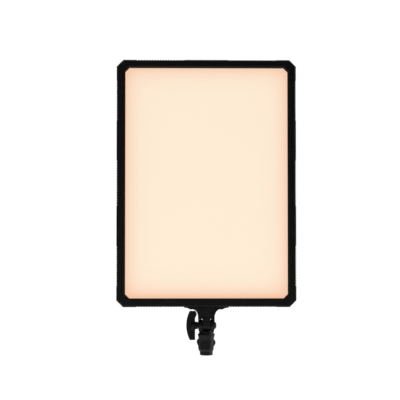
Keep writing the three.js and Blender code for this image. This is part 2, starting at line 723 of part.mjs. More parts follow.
function controlFascia() {
  const face = plate(rounded(FASCIA.w, FASCIA.h, FASCIA.corner), FASCIA_Y, HOUSING.y, { dz: HOUSING.z });
  const [y0, y1] = [FASCIA_Y - 5, HOUSING.y + 5];
  return cut(
    face,
    bar("y", 4.8, y0, y1, -KNOB_X, TOP_ROW_Z, 16),
    bar("y", 4.8, y0, y1, KNOB_X, TOP_ROW_Z, 16),
    plate(rounded(DISPLAY.w + 0.6, DISPLAY.h + 0.6, 2.3), y0, y1, { dz: TOP_ROW_Z }),
    plate(rounded(BUTTON.w + 0.6, BUTTON.h + 0.6, 4.2), y0, y1, { dz: LOW_ROW_Z }),
    box(KNOB_X - 7.3, KNOB_X + 7.3, y0, y1, LOW_ROW_Z - 10.8, LOW_ROW_Z + 10.8),
    bar("y", INLET.barrel + GAP, y0, y1, -KNOB_X, LOW_ROW_Z),
  );
}

const displayWindow = plate(
  rounded(DISPLAY.w, DISPLAY.h, 2), FASCIA_Y + 0.2, HOUSING.y - 0.2, { dz: TOP_ROW_Z });
const displayModule = box(
  -26, 26, boardFace + 0.2, FASCIA_Y - 0.6, TOP_ROW_Z - 9, TOP_ROW_Z + 9);

const BUTTON_FLANGE_Y = FASCIA_Y - 1 - GAP;
const BUTTON_TRAVEL = 0.8;

function modeButton() {
  return join(
    plate(rounded(BUTTON.w, BUTTON.h, 3.9), BUTTON_FLANGE_Y, HOUSING.y + BUTTON.proud, { dz: LOW_ROW_Z }),
    plate(rounded(BUTTON.w + 3, BUTTON.h + 3, 4), BUTTON_FLANGE_Y, BUTTON_FLANGE_Y + 1, { dz: LOW_ROW_Z }),
  );
}

// Push switch behind the mode button, on a small board of its own.
const modeSwitch = join(
  box(-14, 14, BOARD_Y, boardFace, LOW_ROW_Z - 7, LOW_ROW_Z + 7),
  box(-3, 3, boardFace - 0.1, boardFace + 3.4, LOW_ROW_Z - 3, LOW_ROW_Z + 3),
  bar("y", 1.7, boardFace + 3, BUTTON_FLANGE_Y - BUTTON_TRAVEL - 0.1, 0, LOW_ROW_Z, 12),
);

function switchFrame() {
  const [x, z] = [KNOB_X, LOW_ROW_Z];
  const flange = plate(rounded(18, 25, 2), HOUSING.y + 0.2, HOUSING.y + 1.6, { dx: x, dz: z });
  const can = box(x - 7, x + 7, BOARD_Y - 1, HOUSING.y + 1, z - 10.5, z + 10.5);
  const well = box(x - ROCKER.w / 2 - 0.4, x + ROCKER.w / 2 + 0.4, HOUSING.y - 7, HOUSING.y + 5,
    z - ROCKER.h / 2 - 1, z + ROCKER.h / 2 + 1);
  return cut(join(flange, can), well);
}

// Rocker seen from the side: a shallow V that rocks about the middle of the switch.
function powerRocker() {
  const half = ROCKER.h / 2;
  const side = new THREE.Shape();
  side.moveTo(-3.4, -4);
  side.lineTo(3.2, -half);
  side.lineTo(1.6, 0);
  side.lineTo(3.2, half);
  side.lineTo(-3.4, 4);
  const rest = slab(side, KNOB_X - ROCKER.w / 2, KNOB_X + ROCKER.w / 2);
  return rest.rotate([ROCKER.tilt, 0, 0]).translate([0, HOUSING.y, LOW_ROW_Z]);
}

function powerInlet() {
  const { flange, barrel, bore, depth, proud } = INLET;
  const mouth = HOUSING.y + proud;
  const profile = [
    [0, BOARD_Y], [barrel, BOARD_Y], [barrel, HOUSING.y + 0.2], [flange, HOUSING.y + 0.2],
    [flange, HOUSING.y + 1.8], [barrel, HOUSING.y + 1.8], [barrel, mouth], [bore, mouth],
    [bore, mouth - depth], [0, mouth - depth],
  ];
  const shell = turned("y", profile).translate([-KNOB_X, 0, LOW_ROW_Z]);
  const pins = [-2, 2].map((dx) =>
    bar("y", 0.8, mouth - depth - 0.5, mouth - depth + 3, dx - KNOB_X, LOW_ROW_Z, 8));
  return join(shell, ...pins);
}

add(panel, "control_fascia", controlFascia(), MATERIAL.bezelPlastic);
add(panel, "display_window", displayWindow, MATERIAL.window);
add(panel, "display_module", displayModule, MATERIAL.circuit);
add(panel, "brightness_encoder", encoder(KNOB_X), MATERIAL.steel);
add(panel, "colour_encoder", encoder(-KNOB_X), MATERIAL.steel);
add(panel, "brightness_knob", controlKnob(KNOB_X), MATERIAL.knob);
add(panel, "colour_knob", controlKnob(-KNOB_X), MATERIAL.knob);
add(panel, "mode_button", modeButton(), MATERIAL.knob);
add(panel, "mode_switch", modeSwitch, MATERIAL.circuit);
add(panel, "switch_frame", switchFrame(), MATERIAL.bezelPlastic);
add(panel, "power_rocker", powerRocker(), MATERIAL.knob);
add(panel, "power_inlet", powerInlet(), MATERIAL.bezelPlastic);

export default light;
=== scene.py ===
# Looks of an LED panel light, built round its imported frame.
# Shapes are worked out in millimetres and become metres as each piece is made.

import json
import math

import bmesh
import bpy
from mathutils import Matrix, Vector


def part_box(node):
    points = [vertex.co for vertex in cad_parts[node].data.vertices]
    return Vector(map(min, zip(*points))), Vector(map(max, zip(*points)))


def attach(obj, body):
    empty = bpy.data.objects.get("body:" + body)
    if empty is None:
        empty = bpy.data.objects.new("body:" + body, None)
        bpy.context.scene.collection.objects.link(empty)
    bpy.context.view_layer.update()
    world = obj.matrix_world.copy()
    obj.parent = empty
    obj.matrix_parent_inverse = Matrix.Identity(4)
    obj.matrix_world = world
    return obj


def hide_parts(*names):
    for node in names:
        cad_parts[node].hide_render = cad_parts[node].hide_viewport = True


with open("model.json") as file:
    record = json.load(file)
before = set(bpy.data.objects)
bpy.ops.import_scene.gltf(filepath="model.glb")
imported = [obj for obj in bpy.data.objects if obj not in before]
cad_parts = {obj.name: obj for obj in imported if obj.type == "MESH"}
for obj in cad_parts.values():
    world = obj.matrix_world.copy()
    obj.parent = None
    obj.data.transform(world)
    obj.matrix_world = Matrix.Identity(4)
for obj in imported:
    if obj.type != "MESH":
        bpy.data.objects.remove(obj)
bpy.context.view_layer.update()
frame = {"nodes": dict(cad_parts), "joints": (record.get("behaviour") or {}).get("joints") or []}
NODES = frame["nodes"]
MM = 0.001


# -------- places, from the frame


def box(node):
    """Lowest and highest corner of a CAD node, in millimetres."""
    lo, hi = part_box(node)
    return lo / MM, hi / MM


def middle(node):
    lo, hi = box(node)
    return (lo + hi) / 2


def centre_of(node):
    """A node's middle, as (x, z)."""
    spot = middle(node)
    return spot.x, spot.z


def span(lo, hi):
    """Width and height between two corners."""
    return hi.x - lo.x, hi.z - lo.z


def joint_place(name):
    joint = next(j for j in frame["joints"] if j["name"] == name)
    return Vector(joint["pos_m"]) / MM


SHELL_LO, SHELL_HI = box("rear_shell")
BEZEL_LO, BEZEL_HI = box("front_bezel")
DIFFUSER_LO, DIFFUSER_HI = box("diffuser")
HOUSING_LO, HOUSING_HI = box("control_housing")
FASCIA_LO, FASCIA_HI = box("control_fascia")
DISPLAY_LO, DISPLAY_HI = box("display_window")
SINK_LO, SINK_HI = box("heat_sink")

BRACKET_TOP = box("mount_bracket")[1].z
WIDTH, HEIGHT = span(SHELL_LO, SHELL_HI)
PANEL_Z = (SHELL_HI.z + SHELL_LO.z) / 2
PIVOT_Z = joint_place("panel_tilt").z
LOCK_Z = joint_place("lock_knob_turn").z
CORNER = 13  # leg of the casing's corner chamfer
BACK_Y = HOUSING_LO.y - 0.3  # flat back of the shell
SEAT_LAP = 5.3  # how far the bezel reaches over the diffuser's edge
OPENING_W = DIFFUSER_HI.x - DIFFUSER_LO.x - 2 * SEAT_LAP
OPENING_H = DIFFUSER_HI.z - DIFFUSER_LO.z - 2 * SEAT_LAP


# -------- outlines and solids


def chamfered(w, h, corner):
    """Rectangle with chamfered corners, anticlockwise."""
    x, z = w / 2, h / 2
    c = corner
    return [
        (-x + c, -z), (x - c, -z), (x, -z + c), (x, z - c),
        (x - c, z), (-x + c, z), (-x, z - c), (-x, -z + c),
    ]


def rectangle(w, h):
    x, z = w / 2, h / 2
    return [(-x, -z), (x, -z), (x, z), (-x, z)]


def softened(points, radius, steps=4):
    """The outline with an arc in place of each corner."""
    made = []
    for i, point in enumerate(points):
        corner = Vector(point)
        back = (Vector(points[i - 1]) - corner).normalized()
        ahead = (Vector(points[(i + 1) % len(points)]) - corner).normalized()
        inner = back.angle(ahead)
        centre = corner + (back + ahead).normalized() * radius / math.sin(inner / 2)
        arm = corner + back * radius / math.tan(inner / 2) - centre
        side = 1 if back.cross(ahead) < 0 else -1
        for k in range(steps + 1):
            turn = side * (math.pi - inner) * k / steps
            c, s = math.cos(turn), math.sin(turn)
            made.append((centre.x + arm.x * c - arm.y * s, centre.y + arm.x * s + arm.y * c))
    return made


def inset(points, distance):
    """The anticlockwise outline moved inwards."""
    made = []
    for i, point in enumerate(points):
        here = Vector(point)
        arrive = (here - Vector(points[i - 1])).normalized()
        leave = (Vector(points[(i + 1) % len(points)]) - here).normalized()
        a, b = Vector((-arrive.y, arrive.x)), Vector((-leave.y, leave.x))
        made.append(tuple(here + (a + b) * distance / (1 + a.dot(b))))
    return made


def circle(radius, sides=64, centre=(0, 0)):
    turns = [2 * math.pi * i / sides for i in range(sides)]
    return [(centre[0] + radius * math.cos(t), centre[1] + radius * math.sin(t)) for t in turns]


def shifted(points, dx, dz):
    return [(x + dx, z + dz) for x, z in points]


def rounded(w, h, radius, steps, x=0, z=0):
    """Rectangle with rounded corners, centred on (x, z)."""
    return shifted(softened(rectangle(w, h), radius, steps), x, z)


def panelled(w, h, corner, soft, z=PANEL_Z):
    """Chamfered rectangle with its corners a little rounded, at the panel's height or at z."""
    return shifted(softened(chamfered(w, h, corner), soft), 0, z)


def at_y(points, y):
    return [(x, y, z) for x, z in points]


def at_x(points, x):
    return [(x, y, z) for y, z in points]


def at_z(points, z):
    return [(x, y, z) for x, y in points]


def round_edge(radius, steps=3):
    """(inset, depth) pairs of a rounded edge, from the side wall to the flat face."""
    turns = [math.pi / 2 * k / steps for k in range(steps + 1)]
    return [(radius * (1 - math.cos(t)), radius * (1 - math.sin(t))) for t in turns]


class Solid:
    """Closed faces collected in millimetres."""

    def __init__(self):
        self.bm = bmesh.new()

    def ring(self, points):
        return [self.bm.verts.new(p) for p in points]

    def bridge(self, a, b):
        for i in range(len(a)):
            j = (i + 1) % len(a)
            self.bm.faces.new((a[i], a[j], b[j], b[i]))

    def cap(self, ring):
        self.bm.faces.new(ring)

    def loft(self, loops, closed=False):
        """Skin through loops of the same length, capped at both ends unless closed on itself."""
        rings = [self.ring(points) for points in loops]
        for a, b in zip(rings, rings[1:]):
            self.bridge(a, b)
        if closed:
            self.bridge(rings[-1], rings[0])
        else:
            self.cap(rings[0])
            self.cap(rings[-1])

    def chain(self, ring, loops):
        """Skin that goes on from a ring through loops; returns the last ring."""
        for points in loops:
            ahead = self.ring(points)
            self.bridge(ring, ahead)
            ring = ahead
        return ring

    def fill(self, *rings):
        """Flat face bounded by the first ring, with the others as holes."""
        edges = []
        for ring in rings:
            for i, v in enumerate(ring):
                pair = (v, ring[i - 1])
                edges.append(self.bm.edges.get(pair) or self.bm.edges.new(pair))
        bmesh.ops.triangle_fill(self.bm, use_beauty=True, edges=edges)

    def plate(self, outline, lo, hi, soft_lo=0.3, soft_hi=0.3, place=at_y, steps=3):
        """Outline made into a plate with rounded edges."""
        levels = [(i, lo + d) for i, d in reversed(round_edge(soft_lo, steps))]
        levels += [(i, hi - d) for i, d in round_edge(soft_hi, steps)]
        self.loft([place(inset(outline, i), at) for i, at in levels])

    def turned(self, profile, place=at_y, centre=(0, 0), sides=64):
        """Turned solid through (radius, height) pairs that start and end on the axis."""
        self.loft([place(circle(max(r, 1e-3), sides, centre), h) for r, h in profile])

    def object(self, name):
        bmesh.ops.remove_doubles(self.bm, verts=self.bm.verts, dist=2e-4)
        bmesh.ops.recalc_face_normals(self.bm, faces=self.bm.faces)
        bmesh.ops.scale(self.bm, vec=(MM, MM, MM), verts=self.bm.verts)
        data = bpy.data.meshes.new(name)
        self.bm.to_mesh(data)
        self.bm.free()
        made = bpy.data.objects.new(name, data)
        bpy.context.scene.collection.objects.link(made)
        return made


def profile_corners(points, steps=3):
    """Open profile of (radius, height, softness) with an arc at each soft corner."""
    made = []
    for i, (r, h, soft) in enumerate(points):
        if not soft:
            made.append((r, h))
            continue
        corner = Vector((r, h))
        back = (Vector(points[i - 1][:2]) - corner).normalized()
        ahead = (Vector(points[i + 1][:2]) - corner).normalized()
        for k in range(steps + 1):
            t = k / steps
            p = corner + back * soft * (1 - t) ** 2 + ahead * soft * t**2
            made.append(tuple(p))
    return made


def applied(obj):
    """Turns an object's modifiers into mesh."""
    graph = bpy.context.evaluated_depsgraph_get()
    data = bpy.data.meshes.new_from_object(obj.evaluated_get(graph))
    obj.modifiers.clear()
    obj.data = data


def cast(obj, grain, passes=6):
    """Melts overlapping solids into one skin with the soft edges of a casting."""
    melt = obj.modifiers.new("melt", "REMESH")
    melt.mode = "VOXEL"
    melt.voxel_size = grain * MM
    melt.use_smooth_shade = True
    soften = obj.modifiers.new("soften", "SMOOTH")
    soften.factor = 0.5
    soften.iterations = passes
    applied(obj)


def cut_out(obj, cutter):
    cut = obj.modifiers.new("cut", "BOOLEAN")
    cut.operation = "DIFFERENCE"
    cut.solver = "EXACT"
    cut.object = cutter
    applied(obj)
    bpy.data.objects.remove(cutter)


def shade(obj, angle=35):
    """Smooth shading that keeps flat faces flat, and edges sharper than the angle crisp."""
    for face in obj.data.polygons:
        face.use_smooth = True
    obj.data.set_sharp_from_angle(angle=math.radians(angle))
    flatten = obj.modifiers.new("flatten", "WEIGHTED_NORMAL")
    flatten.keep_sharp = True
    flatten.weight = 100


def dress(obj, material, body, slot, *replaced, angle=35):
    """Gives a finished object its material and its place on a body."""
    obj.data.materials.clear()
    obj.data.materials.append(material)
    shade(obj, angle)
    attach(obj, body)
    if replaced:
        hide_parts(*replaced)


# -------- materials


class Shader:
    """A material with a Principled BSDF, and short ways to add nodes to it."""

    def __init__(self, name, color, roughness, metallic=0.0, **constants):
        self.material = bpy.data.materials.new(name)
        self.material.use_nodes = True
        self.material.diffuse_color = (*color, 1)
        self.tree = self.material.node_tree
        self.bsdf = self.tree.nodes["Principled BSDF"]
        self.bsdf.inputs["Base Color"].default_value = (*color, 1)
        self.bsdf.inputs["Roughness"].default_value = roughness
        self.bsdf.inputs["Metallic"].default_value = metallic
        for key, value in constants.items():
            self.bsdf.inputs[key.replace("_", " ").title()].default_value = value
        self.place = self.node("ShaderNodeTexCoord").outputs["Object"]

    def node(self, kind, links=None, **values):
        made = self.tree.nodes.new(kind)
        for key, value in values.items():
            if hasattr(made, key):
                setattr(made, key, value)
            else:
                made.inputs[key.replace("_", " ").title()].default_value = value
        for key, source in (links or {}).items():
            self.tree.links.new(source, made.inputs[key])
        return made

    def noise(self, size_mm, detail=3.0, place=None):
        made = self.node(
            "ShaderNodeTexNoise",
            {"Vector": place or self.place},
            Scale=1 / (size_mm * MM),
            Detail=detail,
        )
        return made.outputs["Fac"]

    def stretched(self, x, y, z):
        """Object coordinates scaled along each axis, for grain with a direction."""
        made = self.node("ShaderNodeMapping", {"Vector": self.place})
        made.inputs["Scale"].default_value = (x, y, z)
        return made.outputs["Vector"]

    def math(self, operation, a, b=0.0):
        made = self.node("ShaderNodeMath", operation=operation)
        for socket, value in zip(made.inputs, (a, b)):
            if isinstance(value, (int, float)):
                socket.default_value = value
            else:
                self.tree.links.new(value, socket)
        return made.outputs["Value"]

    def ranged(self, source, lo, hi, from_lo=0.3, from_hi=0.7):
        made = self.node("ShaderNodeMapRange", {"Value": source})
        made.inputs["From Min"].default_value = from_lo
        made.inputs["From Max"].default_value = from_hi
        made.inputs["To Min"].default_value = lo
        made.inputs["To Max"].default_value = hi
        return made.outputs["Result"]

    def blend(self, factor, first, second):
        made = self.node("ShaderNodeMix", {"Factor": factor}, data_type="RGBA")
        colors = [s for s in made.inputs if s.type == "RGBA"]
        for socket, color in zip(colors, (first, second)):
            socket.default_value = (*color, 1)
        return next(s for s in made.outputs if s.type == "RGBA")

    def drive(self, socket, source):
        self.tree.links.new(source, self.bsdf.inputs[socket])

    def bump(self, height, depth_mm):
        made = self.node("ShaderNodeBump", {"Height": height})
        made.inputs["Distance"].default_value = depth_mm * MM
        made.inputs["Strength"].default_value = 1.0
        self.drive("Normal", made.outputs["Normal"])


def tinted(color, factor):
    return tuple(c * factor for c in color)


def moulded(name, color, roughness, grain_mm, depth_mm):
    """Moulded plastic: spark-eroded grain, with soft patches in gloss and tone."""
    made = Shader(name, color, roughness)
    patch = made.noise(38)
    made.drive("Base Color", made.blend(patch, tinted(color, 0.8), tinted(color, 1.25)))
    made.drive("Roughness", made.ranged(made.noise(14), roughness - 0.06, roughness + 0.09))
    cells = made.node("ShaderNodeTexVoronoi", {"Vector": made.place}, Scale=1 / (grain_mm * MM))
    fine = made.noise(grain_mm * 0.6, detail=2)
    made.bump(made.math("ADD", cells.outputs["Distance"], fine), depth_mm)
    return made.material


def powder_coated(name, color, roughness):
    """Powder coat on a casting: orange-peel surface, a little worn at its edges."""
    made = Shader(name, color, roughness, coat_weight=0.15, coat_roughness=0.35)
    edges = made.node("ShaderNodeNewGeometry").outputs["Pointiness"]
    worn = made.math("MULTIPLY", made.ranged(edges, 0, 1, 0.52, 0.62), made.noise(2.5))
    made.drive("Base Color", made.blend(worn, color, tinted(color, 4)))
    made.drive("Roughness", made.ranged(made.noise(6), roughness - 0.07, roughness + 0.1))
    peel = made.math("ADD", made.noise(0.9, detail=1), made.noise(0.35, detail=1))
    made.bump(peel, 0.09)
    return made.material


def anodised(name, color, roughness):
    """Black anodised extrusion: fine lines along Z."""
    made = Shader(name, color, roughness, metallic=0.85)
    lines = made.noise(1, place=made.stretched(2.2, 2.2, 0.02))
    made.drive("Base Color", made.blend(lines, tinted(color, 0.7), tinted(color, 1.4)))
    made.drive("Roughness", made.ranged(lines, roughness - 0.1, roughness + 0.1))
    made.bump(lines, 0.03)
    return made.material


def machined(name, color, roughness):
    """Turned metal: fine scratches and uneven gloss."""
    made = Shader(name, color, roughness, metallic=1.0)
    scratch = made.noise(0.25, detail=4, place=made.stretched(1, 6, 1))
    made.drive("Base Color", made.blend(made.noise(3), tinted(color, 0.75), tinted(color, 1.2)))
    made.drive("Roughness", made.ranged(scratch, roughness - 0.1, roughness + 0.15))
    made.bump(scratch, 0.02)
    return made.material


def smoked(name, color):
    """Glossy smoked acrylic over a display, with faint handling marks."""
    made = Shader(name, color, 0.06, coat_weight=0.6, coat_roughness=0.03)
    made.drive("Roughness", made.ranged(made.noise(5, detail=5), 0.04, 0.16))
    made.drive("Base Color", made.blend(made.noise(20), tinted(color, 0.7), tinted(color, 1.5)))
    return made.material


def laminate(name, color):
    """Circuit board: solder mask with tracks showing as faint lines."""
    made = Shader(name, color, 0.4)
    tracks = made.node(
        "ShaderNodeTexVoronoi", {"Vector": made.place}, feature="DISTANCE_TO_EDGE", Scale=260
    ).outputs["Distance"]
    line = made.ranged(tracks, 1, 0, 0.02, 0.09)
    made.drive("Base Color", made.blend(line, color, tinted(color, 1.8)))
    made.drive("Roughness", made.ranged(made.noise(8), 0.32, 0.5))
    made.bump(line, 0.05)
    return made.material


def opal_lit(name, glow, rim):
    """Opal sheet lit from behind: even in the middle, warmer along its edges and most at the foot."""
    reach = 15  # how far the warmer tone goes in from an edge
    lift = 3  # how far above the panel's middle the even part is centred
    made = Shader(name, (0.3, 0.29, 0.28), 0.55)
    split = made.node("ShaderNodeSeparateXYZ", {"Vector": made.place})
    x = made.math("ABSOLUTE", split.outputs["X"])
    z = made.math("ABSOLUTE", made.math("SUBTRACT", split.outputs["Z"], (PANEL_Z + lift) * MM))
    level = made.ranged(made.noise(60, detail=1), 0.99, 1)
    for at, half, depth in ((x, OPENING_W / 2, 0.7), (z, OPENING_H / 2, 0.8)):
        gap = made.math("SUBTRACT", half * MM, at)
        fall = made.math("EXPONENT", made.math("DIVIDE", gap, -reach * MM))
        side = made.math("SUBTRACT", 1.0, made.math("MULTIPLY", fall, depth))
        level = made.math("MULTIPLY", level, side)
    made.drive("Emission Color", made.blend(level, rim, glow))
    made.bsdf.inputs["Emission Strength"].default_value = 1.0
    made.bump(made.noise(0.3, detail=1), 0.02)
    return made.material


def lit_segment(name, glow):
    """Segments of the display, lit a little unevenly."""
    made = Shader(name, tinted(glow, 0.2), 0.3)
    made.drive("Emission Color", made.blend(made.noise(4), tinted(glow, 0.85), glow))
    made.bsdf.inputs["Emission Strength"].default_value = 1.0
    return made.material


SHELL = moulded("shell_plastic", (0.0125, 0.0125, 0.0135), 0.52, 0.55, 0.035)
BEZEL = moulded("bezel_plastic", (0.006, 0.006, 0.0065), 0.46, 0.4, 0.02)
FASCIA = moulded("fascia_plastic", (0.016, 0.016, 0.0175), 0.42, 0.3, 0.012)
GRIP = moulded("grip_plastic", (0.009, 0.009, 0.0095), 0.55, 0.7, 0.06)
KNOB = moulded("knob_plastic", (0.015, 0.015, 0.016), 0.48, 0.35, 0.02)
PAINT = powder_coated("bracket_paint", (0.0075, 0.0075, 0.008), 0.5)
ANODISED = anodised("black_anodised", (0.045, 0.046, 0.05), 0.42)
STEEL = machined("black_steel", (0.11, 0.11, 0.115), 0.36)
BRASS = machined("turned_brass", (0.58, 0.4, 0.16), 0.33)
NYLON = moulded("black_nylon", (0.012, 0.012, 0.0125), 0.5, 0.6, 0.02)
WHITE = moulded("white_plastic", (0.8, 0.8, 0.77), 0.6, 0.5, 0.02)
INK = moulded("print_ink", (0.4, 0.4, 0.4), 0.6, 0.3, 0.005)
CIRCUIT = laminate("circuit_board", (0.02, 0.13, 0.06))
JACKET = moulded("cable_jacket", (0.3, 0.02, 0.015), 0.5, 0.6, 0.02)
SMOKED = smoked("smoked_acrylic", (0.006, 0.006, 0.008))
READOUT = lit_segment("display_readout", (0.25, 0.5, 0.58))
OPAL = opal_lit("opal_sheet", (0.94, 0.785, 0.615), (0.85, 0.46, 0.29))


# -------- front bezel and diffuser


def make_bezel():
    w, h = span(BEZEL_LO, BEZEL_HI)
    front, seam = BEZEL_LO.y, BEZEL_LO.y + 8
    seat_y = DIFFUSER_LO.y - 0.2
    opening_inset = (w - OPENING_W) / 2
    slope_top = opening_inset - 3.4
    slope_end = front + 2.4
    outer = [(0, seam, 12.1, 1.6), (0, seam - 0.4, 12.1, 1.6)]
    outer += [(i, front + d, 12.1 - i / 2, 1.6) for i, d in round_edge(1.4, 4)]
    lip = [(slope_top - 0.5, front, 10.2, 1.2), (slope_top + 0.15, front + 0.18, 10, 1.2)]
    inner = [
        (opening_inset - 0.25, slope_end - 0.3, 8.1, 1),
        (opening_inset, slope_end + 0.1, 8, 1),
        (opening_inset, seat_y, 8, 1),
        (opening_inset - 5.8, seat_y, 8, 1),
        (opening_inset - 5.8, seam, 8, 1),
        (7, seam, 9, 1),
        (7, BEZEL_HI.y, 9, 1),
        (4.4, BEZEL_HI.y, 11, 1),
        (4.4, seam, 11, 1),
    ]
    solid = Solid()
    solid.loft([at_y(panelled(w - 2 * i, h - 2 * i, corner, soft), y)
                for i, y, corner, soft in outer + lip + inner], closed=True)
    dress(solid.object("bezel_moulding"), BEZEL, "head", "bezel_plastic", "front_bezel")


def make_diffuser():
    w, h = span(DIFFUSER_LO, DIFFUSER_HI)
    solid = Solid()
    solid.plate(panelled(w, h, 8, 1), DIFFUSER_LO.y, DIFFUSER_HI.y, 0.2, 0.2)
    dress(solid.object("diffuser_sheet"), OPAL, "head", "opal", "diffuser")


# -------- rear shell

FIN_PITCH = 5.27
GROOVE_HALF = 1.3
GROOVE_DEPTH = 3
GROOVE_END_Y = 9
SIDE_GROUPS = [(-161.3, 15), (0, 17), (161.3, 15)]
END_GROUPS = [(-89.5, 18), (89.5, 18)]
SIDE_WALL = 5.5
BACK_WALL = 2
SLOPE = 7  # the slope between sides and back takes this much of both
SLOPE_Y = BACK_Y - SLOPE
WINDOW_W, WINDOW_H = 224, 292  # opening for the heat sink's fins
WINDOW_Z = PANEL_Z + 48
WINDOW = panelled(WINDOW_W, WINDOW_H, 8, 2, WINDOW_Z)
WINDOW_FRAME = panelled(WINDOW_W + 14, WINDOW_H + 14, 12, 3, WINDOW_Z)
WINDOW_LAP = 3  # how far the frame's skirt stands outside the window


def groove_points(groups, depth):
    """Points along one side, as (distance along it, depth below it), with soft groove edges."""
    lip, floor = 0.4, 0.55
    half = GROOVE_HALF
    made = []
    for centre, count in groups:
        for i in range(count):
            at = centre + (i - (count - 1) / 2) * FIN_PITCH
            made += [
                (at - half - lip, 0),
                (at - half, min(lip, depth)),
                (at - half, max(depth - floor, 0)),
                (at - half + floor, depth),
                (at + half - floor, depth),
                (at + half, max(depth - floor, 0)),
                (at + half, min(lip, depth)),
                (at + half + lip, 0),
            ]
    return made


def casing_outline(d, shrink=0.586):
    """Plain casing at inset d, centred on the origin; the chamfers' legs shrink by a share of d."""
    return softened(chamfered(WIDTH - 2 * d, HEIGHT - 2 * d, CORNER - shrink * d), 2)


def finned_outline(d, depth):
    """Outline of the casing at inset d, with grooves of the given depth; and which points are corners."""
    corner = casing_outline(d)
    steps = len(corner) // 8
    half_w, half_h = WIDTH / 2 - d, HEIGHT / 2 - d
    bottom = [(t, -half_h + g) for t, g in groove_points(END_GROUPS, depth)]
    right = [(half_w - g, t) for t, g in groove_points(SIDE_GROUPS, depth)]
    top = [(t, half_h - g) for t, g in reversed(groove_points(END_GROUPS, depth))]
    left = [(-half_w + g, t) for t, g in reversed(groove_points(SIDE_GROUPS, depth))]
    points, is_corner = [], []
    for run, first in zip((bottom, right, top, left), (0, 2, 4, 6)):
        start = corner[first * steps:(first + 1) * steps]
        end = corner[(first + 1) * steps:(first + 2) * steps]
        for part, mark in ((start, True), (run, False), (end, True)):
            points += part
            is_corner += [mark] * len(part)
    return shifted(points, 0, PANEL_Z), is_corner


def finned_walls(solid):
    """Grooved sides; returns their front ring and the plain ring behind the grooves."""
    front = SHELL_LO.y
    levels = [(0.35, front, GROOVE_DEPTH), (0, front + 0.35, GROOVE_DEPTH),
              (0, GROOVE_END_Y - 2.2, GROOVE_DEPTH), (0, GROOVE_END_Y - 1, GROOVE_DEPTH * 0.75),
              (0, GROOVE_END_Y, 0.02)]
    rings = []
    for d, y, depth in levels:
        outline, is_corner = finned_outline(d, depth)
        rings.append(solid.ring(at_y(outline, y)))
    for a, b in zip(rings, rings[1:]):
        solid.bridge(a, b)

    # Behind the grooves the walls are plain: a loop with only the corners' points.
    plain = [p for p, mark in zip(outline, is_corner) if mark]
    outer = solid.ring(at_y(plain, GROOVE_END_Y + 0.6))
    toothed = rings[-1]
    corner_at = [i for i, mark in enumerate(is_corner) if mark]
    for k, i in enumerate(corner_at):
        j = corner_at[(k + 1) % len(corner_at)]
        run = [toothed[n % len(toothed)] for n in range(i, j if j > i else j + len(toothed))]
        solid.bm.faces.new([*run, toothed[j], outer[(k + 1) % len(outer)], outer[k]])
    return rings[0], outer


def sloped_walls(solid, ring):
    """Walls from behind the grooves over the slope to the back; returns the last ring."""
    bend = 1.7
    levels = profile_corners(
        [(0, SLOPE_Y - 3, 0), (0, SLOPE_Y, bend), (SLOPE, BACK_Y, bend), (SLOPE + 3, BACK_Y, 0)], steps=4)
    return solid.chain(ring, [at_y(shifted(casing_outline(d), 0, PANEL_Z), y) for d, y in levels[1:]])


def window_frame(solid):
    """Raised frame round the window; returns its foot and the ring at its skirt's front end."""
    top = SHELL_HI.y
    skirt_y = SINK_LO.y + 2.6
    outside = [(-0.2, BACK_Y + 0.15), (0, BACK_Y + 0.6), (0, top - 0.8), (0.25, top - 0.25), (0.8, top)]
    inside = [(-1, top), (-0.3, top - 0.3), (0, top - 1), (0, skirt_y), (-WINDOW_LAP, skirt_y)]
    foot = solid.ring(at_y(inset(WINDOW_FRAME, -0.6), BACK_Y))
    rim = solid.chain(foot, [at_y(inset(WINDOW_FRAME, d), y) for d, y in outside])
    return foot, solid.chain(rim, [at_y(inset(WINDOW, d), y) for d, y in inside])


def screw_recesses(solid):
    """Sunk seats of the shell's screws; returns their rims."""
    rims = []
    for i in range(8):
        centre = centre_of(f"shell_screw_{i + 1}")
        levels = [(3.75, BACK_Y - 0.1), (3.5, BACK_Y - 0.4), (3.5, BACK_Y - 1.05)]
        rims.append(solid.ring(at_y(circle(4.1, 40, centre), BACK_Y)))
        floor = solid.chain(rims[-1], [at_y(circle(r, 40, centre), y) for r, y in levels])
        solid.cap(floor)
    return rims


def line_shell(solid, mouth, skirt):
    """Hidden side of the walls, the slope and the back, up to the window's skirt."""

    def loop(d, y):
        return at_y(shifted(casing_outline(d, 0.2), 0, PANEL_Z), y)

    hidden_y = BACK_Y - BACK_WALL
    rim = solid.ring(loop(SIDE_WALL, SHELL_LO.y))
    solid.fill(mouth, rim)
    edge = solid.chain(rim, [loop(SIDE_WALL, SLOPE_Y - 1), loop(SIDE_WALL + SLOPE, hidden_y)])
    solid.fill(edge, solid.chain(skirt, [at_y(inset(WINDOW, -WINDOW_LAP), hidden_y)]))


def make_shell():
    solid = Solid()
    mouth, ring = finned_walls(solid)
    back_edge = sloped_walls(solid, ring)
    frame_foot, skirt = window_frame(solid)
    solid.fill(back_edge, frame_foot, *screw_recesses(solid))
    line_shell(solid, mouth, skirt)
    dress(solid.object("shell_moulding"), SHELL, "head", "shell_plastic", "rear_shell", angle=30)


# -------- heat sink


